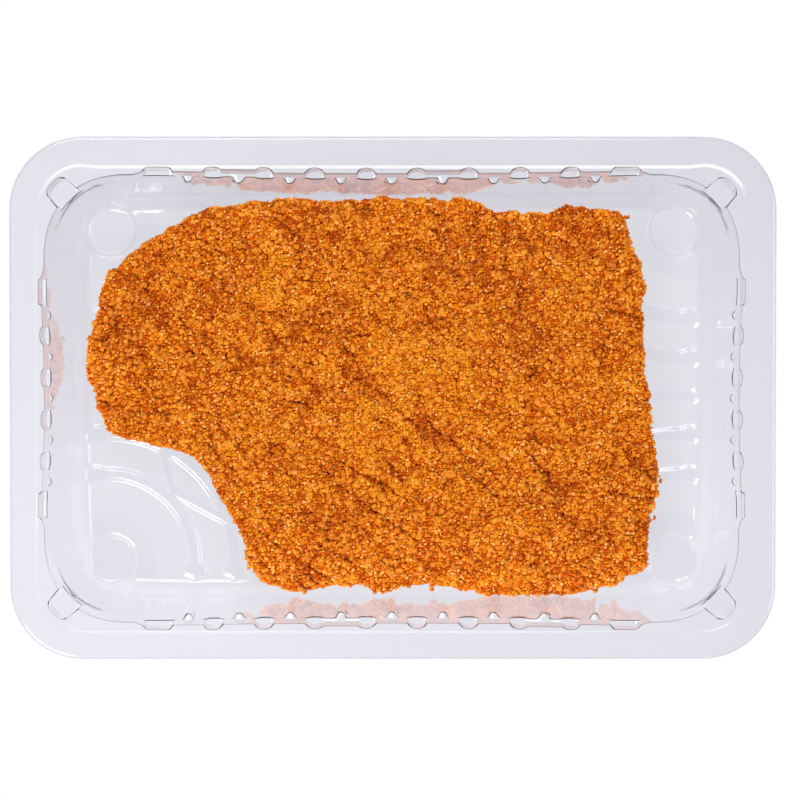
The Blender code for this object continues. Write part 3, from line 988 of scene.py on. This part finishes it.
def scatter_tree(name, share, sizes, lift=None):
    """Makes crumbs of one kind, over a surface or, without a lift, on its own points."""
    tree = bpy.data.node_groups.new(name, "GeometryNodeTree")
    for way in ("INPUT", "OUTPUT"):
        tree.interface.new_socket("Geometry", in_out=way, socket_type="NodeSocketGeometry")
    points = tree.nodes.new("NodeGroupInput").outputs[0]
    if lift:
        points = spread_points(tree, points, lift)
    middle, half = (share[0] + share[1]) / 2, (share[1] - share[0]) / 2
    which = new_node(tree, "FunctionNodeRandomValue", {"data_type": "INT"})
    which.inputs[5].default_value = len(GRAINS) - 1
    handful = new_node(
        tree, "GeometryNodeCollectionInfo", Collection=grains, Separate_Children=True
    )
    put = new_node(
        tree,
        "GeometryNodeInstanceOnPoints",
        Points=points,
        Selection=calculate(tree, "COMPARE", random_number(tree, 0, 1, 3), middle, half),
        Instance=handful.outputs[0],
        Pick_Instance=True,
        Instance_Index=which.outputs[2],
        Scale=random_number(tree, *sizes, 5),
    )
    tone = new_node(
        tree,
        "GeometryNodeStoreNamedAttribute",
        {"domain": "INSTANCE"},
        Geometry=put.outputs[0],
        Name="tone",
        Value=random_number(tree, 0, 1, 9),
    )
    made = new_node(tree, "GeometryNodeRealizeInstances", Geometry=tone.outputs[0]).outputs[0]
    tree.links.new(made, tree.nodes.new("NodeGroupOutput").inputs[0])
    return tree


# %% Scatter every kind
# Name, share of the points, sizes as multiples of a millimetre, lift off the base.
# The darker kinds lie lower on the base, which adds painted shade deep in the layer.
KINDS = (
    ("rust_crumbs", (0.0, 0.2), (0.8, 1.2), (0.0, 0.2)),
    ("amber_crumbs", (0.2, 0.42), (0.8, 1.4), (0.0, 0.35)),
    ("gold_crumbs", (0.42, 0.63), (0.9, 1.6), (0.05, 0.45)),
    ("honey_crumbs", (0.63, 0.81), (0.9, 1.6), (0.1, 0.5)),
    ("pale_crumbs", (0.81, 0.9), (0.8, 1.4), (0.15, 0.5)),
    ("large_crumbs", (0.9, 1.0), (1.5, 2.3), (0.05, 0.35)),
)

crumbs = []


def crumble(piece, *kind):
    """Turns a piece into crumbs of one kind."""
    scatter = piece.modifiers.new("scatter", "NODES")
    scatter.node_group = scatter_tree(piece.name, *kind)
    apply_all(piece)
    crumbs.append(piece)
    print(piece.name, triangles(piece), "triangles")


for name, *kind in KINDS:
    layer = new_object(name, crust_base.data.copy())
    crumble(layer, *kind)
    reshape(layer, lowest=MEAT_LOW.z)

# %% Clumps and specks at the edge
# Here and there a few crumbs hang together off the edge. Places in millimetres: x, y, z,
# how many, and how far apart.
CLUMPS = (
    *((66.8, -55.6, 8, 9, 1.1), (70.9, -52.6, 8, 8, 1.0), (75.2, -49.8, 9, 9, 1.1)),
    *((79.2, -24.8, 9, 8, 1.0), (79.6, -28.6, 8, 2, 0.8), (-26.5, -58.2, 11, 5, 0.6)),
    *((-42.6, -50.6, 8, 5, 0.8), (12.0, -57.6, 10, 4, 0.8), (60.2, -57.6, 10, 5, 0.8)),
    *((-84.6, 36.4, 9, 5, 0.8), (-5.0, -58.2, 11, 5, 0.6), (39.5, -58.6, 12, 4, 0.5)),
    *((77.6, -36.5, 8, 4, 0.8), (-91.2, 17.5, 9, 4, 0.7), (69.5, 53.6, 9, 4, 0.7)),
)
EDGE_KIND = ((0.0, 1.0), (0.9, 1.5))

chance = random.Random(CRUMB_SEED)
clump_points = [
    [(middle + chance.uniform(-spread, spread)) * MM for middle in (x, y, z)]
    for x, y, z, count, spread in CLUMPS
    for _ in range(count)
]
edge_mesh = bpy.data.meshes.new("edge_crumbs")
edge_mesh.from_pydata(clump_points, [], [])
mark_browned_and_shaded(edge_mesh, [0.5] * len(clump_points))
crumble(new_object("edge_crumbs", edge_mesh), *EDGE_KIND)

# %% Put the crust on the tray's body
for grain in list(grains.objects):
    bpy.data.objects.remove(grain)
bpy.data.collections.remove(grains)
for piece in [crust_base, *crumbs]:
    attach(piece, "root")
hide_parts("schnitzel")

# %% [markdown]
# ## Finishes
#
# Fried crumbs are never one colour. Each kind runs between two shades, and every single
# crumb has its own place between them, which the scattering stored on it as its tone.
# Over that lies the browning: where the pan was hotter, a patch some millimetres wide
# is redder and darker. The same mix paints shade by depth: hollows come out redder and
# darker as painted shade, crests more golden as painted light. The base and all the
# crumbs share it, so it is one node group with its own inputs and outputs.


# %% Colours
def paint(red, green, blue):
    """A colour given as on screen, 0 to 255, as the linear values that a shader wants."""
    shares = [value / 255 for value in (red, green, blue)]
    linear = [v / 12.92 if v <= 0.04045 else ((v + 0.055) / 1.055) ** 2.4 for v in shares]
    return (*linear, 1.0)


def grainy(tree, kind, scale, **inputs):
    """A texture over the piece's own places."""
    place = tree.nodes.new("ShaderNodeTexCoord").outputs["Object"]
    return new_node(tree, kind, Vector=place, Scale=scale, **inputs)


def tinted(tree, share, low, high):
    """A colour between two, each given as a colour or as a link."""
    blend = new_node(tree, "ShaderNodeMix", {"data_type": "RGBA"}, Factor=share)
    fill(tree, blend.inputs[6], low)
    fill(tree, blend.inputs[7], high)
    return blend.outputs[2]


def dress(piece, finish):
    piece.data.materials.clear()
    piece.data.materials.append(finish)


# %% The browning and the painted shade
def browning_and_shade_group():
    """Makes a colour redder where browned and in hollows (painted shade), golden elsewhere and
    on crests (painted light).
    """
    tree = bpy.data.node_groups.new("browning_and_shade", "ShaderNodeTree")
    for name in ("Colour", "Browned", "Golden"):
        tree.interface.new_socket(name, in_out="INPUT", socket_type="NodeSocketColor")
    tree.interface.new_socket("Amount", in_out="INPUT", socket_type="NodeSocketFloat")
    tree.interface.new_socket("Colour", in_out="OUTPUT", socket_type="NodeSocketColor")
    given = tree.nodes.new("NodeGroupInput")
    small = grainy(tree, "ShaderNodeTexNoise", 300.0, Detail=2.0)
    mark = new_node(tree, "ShaderNodeAttribute", {"attribute_name": "browned_and_shaded"})
    patches = new_node(
        tree, "ShaderNodeMix", Factor=0.5, A=mark.outputs["Fac"], B=small.outputs[0]
    )
    colour = given.outputs["Colour"]
    for name, low, high in (("Browned", 0.5, 0.72), ("Golden", 0.5, 0.34)):
        spread = share_between(tree, patches.outputs[0], low, high)
        amount = calculate(tree, "MULTIPLY", spread, given.outputs["Amount"])
        colour = tinted(tree, amount, colour, given.outputs[name])
    tree.links.new(colour, tree.nodes.new("NodeGroupOutput").inputs[0])
    return tree


browning_and_shade = browning_and_shade_group()


# %% Crust materials
# The browned paint is also the painted shade of the hollows, the golden one the painted light
# of the crests.
BROWNED_PAINT, GOLDEN_PAINT = paint(166, 58, 2), paint(238, 156, 28)


def crust_material(name, dark, light, amount, bumpiness, depth):
    """A crust finish between two shades, and its inputs for the shade and the bumps."""
    finish, surface = new_material(
        name,
        Roughness=0.55,
        Specular_IOR_Level=0.1,
        Subsurface_Weight=0.4,
        Subsurface_Radius=(1.0, 0.4, 0.1),
        Subsurface_Scale=0.6 * MM,
    )
    tree = finish.node_tree
    shades = new_node(tree, "ShaderNodeMix", {"data_type": "RGBA"})
    shades.inputs[6].default_value = paint(*dark)
    shades.inputs[7].default_value = paint(*light)
    patches = new_node(
        tree,
        "ShaderNodeGroup",
        {"node_tree": browning_and_shade},
        Colour=shades.outputs[2],
        Browned=BROWNED_PAINT,
        Golden=GOLDEN_PAINT,
        Amount=amount,
    )
    bump = new_node(tree, "ShaderNodeBump", Strength=bumpiness, Distance=depth * MM)
    tree.links.new(patches.outputs[0], surface.inputs["Base Color"])
    tree.links.new(bump.outputs[0], surface.inputs["Normal"])
    return finish, shades.inputs["Factor"], bump.inputs["Height"]


SHADES = {
    "rust_crumbs": ((194, 84, 2), (210, 100, 5), 0.7),
    "amber_crumbs": ((204, 103, 5), (218, 118, 11), 0.7),
    "gold_crumbs": ((214, 119, 11), (230, 136, 24), 0.65),
    "honey_crumbs": ((223, 133, 24), (240, 154, 44), 0.6),
    "pale_crumbs": ((240, 156, 62), (252, 184, 98), 0.4),
    "large_crumbs": ((210, 116, 18), (236, 150, 46), 0.5),
    "edge_crumbs": ((208, 112, 16), (232, 146, 44), 0.5),
}
for piece in crumbs:
    finish, shade, height = crust_material(
        piece.name, *SHADES[piece.name], bumpiness=0.4, depth=0.2
    )
    tree = finish.node_tree
    tone = new_node(tree, "ShaderNodeAttribute", {"attribute_name": "tone"})
    tree.links.new(tone.outputs["Fac"], shade)
    grain = grainy(tree, "ShaderNodeTexNoise", 2200.0, Detail=2.0)
    tree.links.new(grain.outputs[0], height)
    dress(piece, finish)

# %% The base's material
# Its cells look like a deeper layer of crumbs, each with its own tone. It is darker than
# the crumbs, partly as painted shade in the gaps between them.
BASE_SHADES = ((164, 54, 0), (208, 94, 5), 0.4)

finish, shade, height = crust_material("crust_base", *BASE_SHADES, bumpiness=1.0, depth=0.5)
tree = finish.node_tree
cells = grainy(tree, "ShaderNodeTexVoronoi", 1150.0)
tone = new_node(tree, "ShaderNodeSeparateColor", Color=cells.outputs["Color"])
tree.links.new(tone.outputs[0], shade)
tree.links.new(calculate(tree, "MULTIPLY", cells.outputs["Distance"], -1.0), height)
dress(crust_base, finish)
print("finished", len(crumbs) + 1, "pieces of crust")

# %% Clear plastic
# Its colour carries painted shade. Steep places are painted greyer, for the light that
# crosses more of the sheet there, most of all at the back. The flat flange is the clearest,
# with painted shade on the far side from the key lamp. The floor nearly touches the table;
# it is painted darker than the flange, and its forms are painted darker still.
FLANGE_TINT, SHADED_FAR_FLANGE_TINT = (0.85, 0.85, 0.92, 1), (0.7, 0.7, 0.765, 1)
SHADED_FLOOR_TINT, SHADED_FORM_TINT = (0.77, 0.77, 0.82, 1), (0.74, 0.74, 0.80, 1)
BACK_SHADE_TINT, FRONT_SHADE_TINT = (0.69, 0.68, 0.75, 1), (0.81, 0.80, 0.86, 1)
# A highlight painted into the colour along the back of the rim.
PAINTED_GLEAM_TINT = (0.99, 0.99, 1.0, 1)
# Where one tint gives way to the next.
FORM_EDGE = (0.25 * MM, 0.7 * MM)
LIFT_EDGE = (15 * MM, 38 * MM)
STEEP_EDGE = (0.97, 0.6)
FRONT_EDGE = (50 * MM, -50 * MM)
FAR_SIDE, FAR_EDGE = (0.53, 0.59, 0.0), (-0.1, 0.1)
GLEAM_EDGE, BACK_EDGE = (0.6 * MM, 0.4 * MM), (57 * MM, 66 * MM)
# Past a corner the gleam comes in by the shift, over a short run.
GLEAM_SHIFT, SHIFT_RUN = 0.45 * MM, -4 * MM

clear, plastic = new_material(
    "clear_plastic",
    Transmission_Weight=1.0,
    Roughness=0.05,
    IOR=1.18,
    Coat_Weight=0.45,
    Coat_Roughness=0.08,
)
tree = clear.node_tree


def away_from(tree, value, middle):
    """How far the value is from a middle, on either side."""
    return calculate(tree, "ABSOLUTE", calculate(tree, "SUBTRACT", value, middle))


# %% Where the sheet is formed, lifted, steep and far
place = tree.nodes.new("ShaderNodeTexCoord").outputs["Object"]
normal = tree.nodes.new("ShaderNodeNewGeometry").outputs["Normal"]
spot = new_node(tree, "ShaderNodeSeparateXYZ", Vector=place)
turned = new_node(tree, "ShaderNodeSeparateXYZ", Vector=normal)
from_floor = away_from(tree, spot.outputs["Z"], FLOOR_Z - SHEET / 2)
formed = share_between(tree, from_floor, *FORM_EDGE)
lifted = share_between(tree, spot.outputs["Z"], *LIFT_EDGE)
steep = share_between(tree, away_from(tree, turned.outputs["Z"], 0), *STEEP_EDGE)
at_front = share_between(tree, spot.outputs["Y"], *FRONT_EDGE)
far = new_node(tree, "ShaderNodeVectorMath", {"operation": "DOT_PRODUCT"}, Vector=place)
far.inputs[1].default_value = FAR_SIDE
far_shade = share_between(tree, far.outputs["Value"], *FAR_EDGE)

# %% The painted gleam along the back
# It is a highlight painted into the colour, on the bead in the corners and on the ledge
# between them. The reach is how far out a place is, seen from the points that the flange's
# corners turn about.
reach = place
for operation, value in (
    ("ABSOLUTE", None),
    ("SUBTRACT", (TURN_X * MM, TURN_Y * MM, 0)),
    ("MAXIMUM", (0, 0, 0)),
    ("MULTIPLY", (1, 1, 0)),
    ("LENGTH", None),
):
    step = new_node(tree, "ShaderNodeVectorMath", {"operation": operation}, Vector=reach)
    if value:
        step.inputs[1].default_value = value
    reach = step.outputs["Value" if operation == "LENGTH" else "Vector"]
    if operation == "SUBTRACT":
        past_corner = new_node(tree, "ShaderNodeSeparateXYZ", Vector=reach).outputs["X"]
shift = share_between(tree, past_corner, 0.0, SHIFT_RUN, most=GLEAM_SHIFT)
shifted = calculate(tree, "ADD", reach, shift)
from_gleam = away_from(tree, shifted, FLANGE_RADIUS - BEAD_ENDS * MM)
at_gleam = share_between(tree, from_gleam, *GLEAM_EDGE)
at_back = share_between(tree, spot.outputs["Y"], *BACK_EDGE)
painted_gleam = calculate(tree, "MULTIPLY", at_gleam, at_back)

# %% Mix the tints, the painted shade and the painted gleam
tint = tinted(tree, formed, SHADED_FLOOR_TINT, SHADED_FORM_TINT)
tint = tinted(tree, lifted, tint, tinted(tree, far_shade, FLANGE_TINT, SHADED_FAR_FLANGE_TINT))
tint = tinted(tree, steep, tint, tinted(tree, at_front, BACK_SHADE_TINT, FRONT_SHADE_TINT))
tint = tinted(tree, painted_gleam, tint, PAINTED_GLEAM_TINT)
tree.links.new(tint, plastic.inputs["Base Color"])
dress(tray_sheet, clear)
tray_sheet.visible_shadow = False
print("the plastic mixes", len(tree.nodes), "nodes")
